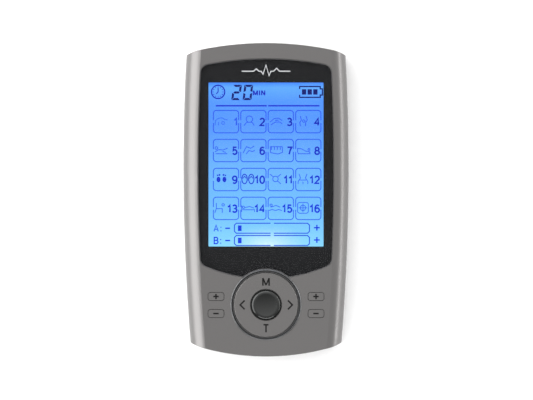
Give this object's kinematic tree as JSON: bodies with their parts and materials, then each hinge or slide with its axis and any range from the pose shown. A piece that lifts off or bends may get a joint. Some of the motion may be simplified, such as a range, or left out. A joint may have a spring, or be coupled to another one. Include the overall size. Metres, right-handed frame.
{
  "type": "handheld nerve stimulator",
  "caption": "Handheld two-channel electrotherapy unit: slim two-shell housing, backlit display window, tilting ring key round a centre button, level keys, output jacks and a charging port.",
  "frame": {"origin": "middle of the back, which the unit rests on", "axes": "+Z out of the face, +Y towards the end with the output jacks, +X to the right as the face is read"},
  "size_m": [0.0614, 0.116, 0.0136],
  "materials": {
    "housing_grey": "satin metallic grey paint",
    "housing_dark": "satin",
    "key_grey": "satin",
    "steel": "plated",
    "label": "blank, satin",
    "window": "gloss, dark, see-through over the display",
    "black_film": "matt print",
    "foam": "closed-cell foam",
    "lcd": "backlit blue",
    "lcd_glass": "clear",
    "white_plastic": "moulded",
    "light_guide": "clear moulded",
    "reflector": "film",
    "led": "phosphor cap",
    "elastomer": "striped silicone",
    "board": "solder mask",
    "chip": "moulded epoxy",
    "capacitor": "moulded",
    "ferrite": "sintered",
    "copper_wire": "enamelled wire and tape",
    "cell": "pouch foil",
    "tape": "adhesive",
    "red_wire": "insulation",
    "black_wire": "insulation",
    "ivory_plastic": "moulded",
    "jack_black": "moulded",
    "switch_black": "moulded",
    "plunger_white": "moulded",
    "trim": "dark plated plastic",
    "cushion": "matt",
    "button_dark": "dark gunmetal gloss"
  },
  "bodies": {
    "unit": {"front_cover": "housing_grey", "rear_cover": "housing_dark", "case_screws": "steel", "rating_label": "label", "display_window": "window", "window_mask": "black_film", "display_gasket": "foam", "lcd_polariser": "lcd", "lcd_glass": "lcd_glass", "lcd_frame": "white_plastic", "light_guide": "light_guide", "reflector_sheet": "reflector", "backlight_led": "led", "zebra_connector": "elastomer", "circuit_board": "board", "board_screws": "steel", "controller_chip": "chip", "charger_chip": "chip", "driver_transistors": "chip", "reservoir_capacitors": "capacitor", "transformer_cores": "ferrite", "transformer_coils": "copper_wire", "battery_cell": "cell", "battery_tape": "tape", "battery_lead_red": "red_wire", "battery_lead_black": "black_wire", "battery_plug": "ivory_plastic", "battery_socket": "ivory_plastic", "output_jack_a": "jack_black", "output_jack_b": "jack_black", "jack_sleeve_a": "steel", "jack_sleeve_b": "steel", "usb_shell": "steel", "usb_tongue": "jack_black", "switch_bodies": "switch_black", "dpad_trim_ring": "trim"},
    "cushion": {"dpad_cushion": "cushion"},
    "ring_key": {"dpad_ring": "key_grey"},
    "centre_key": {"centre_button": "button_dark", "centre_plunger": "plunger_white"},
    "a_plus_key": {"key_a_plus": "key_grey", "plunger_a_plus": "plunger_white"},
    "a_minus_key": {"key_a_minus": "key_grey", "plunger_a_minus": "plunger_white"},
    "b_plus_key": {"key_b_plus": "key_grey", "plunger_b_plus": "plunger_white"},
    "b_minus_key": {"key_b_minus": "key_grey", "plunger_b_minus": "plunger_white"},
    "mode_plunger": {"plunger_mode": "plunger_white"},
    "time_plunger": {"plunger_time": "plunger_white"},
    "left_plunger": {"plunger_left": "plunger_white"},
    "right_plunger": {"plunger_right": "plunger_white"}
  },
  "joints": [
    {"name": "ring_mode_time_tilt", "type": "hinge", "parent": "unit", "child": "cushion", "pos_m": [0, -0.0389, 0.0063], "axis": [1, 0, 0], "range_deg": [-1.6, 1.6], "stiffness_Nm_per_rad": 4},
    {"name": "ring_left_right_tilt", "type": "hinge", "parent": "cushion", "child": "ring_key", "pos_m": [0, -0.0389, 0.0092], "axis": [0, 1, 0], "range_deg": [-1.6, 1.6], "stiffness_Nm_per_rad": 4},
    {"name": "centre_press", "type": "slide", "parent": "unit", "child": "centre_key", "axis": [0, 0, -1], "range_m": [0, 0.0003], "stiffness_N_per_m": 900},
    {"name": "a_plus_press", "type": "slide", "parent": "unit", "child": "a_plus_key", "axis": [0, 0, -1], "range_m": [0, 0.0003], "stiffness_N_per_m": 900},
    {"name": "a_minus_press", "type": "slide", "parent": "unit", "child": "a_minus_key", "axis": [0, 0, -1], "range_m": [0, 0.0003], "stiffness_N_per_m": 900},
    {"name": "b_plus_press", "type": "slide", "parent": "unit", "child": "b_plus_key", "axis": [0, 0, -1], "range_m": [0, 0.0003], "stiffness_N_per_m": 900},
    {"name": "b_minus_press", "type": "slide", "parent": "unit", "child": "b_minus_key", "axis": [0, 0, -1], "range_m": [0, 0.0003], "stiffness_N_per_m": 900},
    {"name": "mode_plunger_press", "type": "slide", "parent": "unit", "child": "mode_plunger", "axis": [0, 0, -1], "range_m": [0, 0.0003], "stiffness_N_per_m": 100},
    {"name": "time_plunger_press", "type": "slide", "parent": "unit", "child": "time_plunger", "axis": [0, 0, -1], "range_m": [0, 0.0003], "stiffness_N_per_m": 100},
    {"name": "left_plunger_press", "type": "slide", "parent": "unit", "child": "left_plunger", "axis": [0, 0, -1], "range_m": [0, 0.0003], "stiffness_N_per_m": 100},
    {"name": "right_plunger_press", "type": "slide", "parent": "unit", "child": "right_plunger", "axis": [0, 0, -1], "range_m": [0, 0.0003], "stiffness_N_per_m": 100}
  ]
}
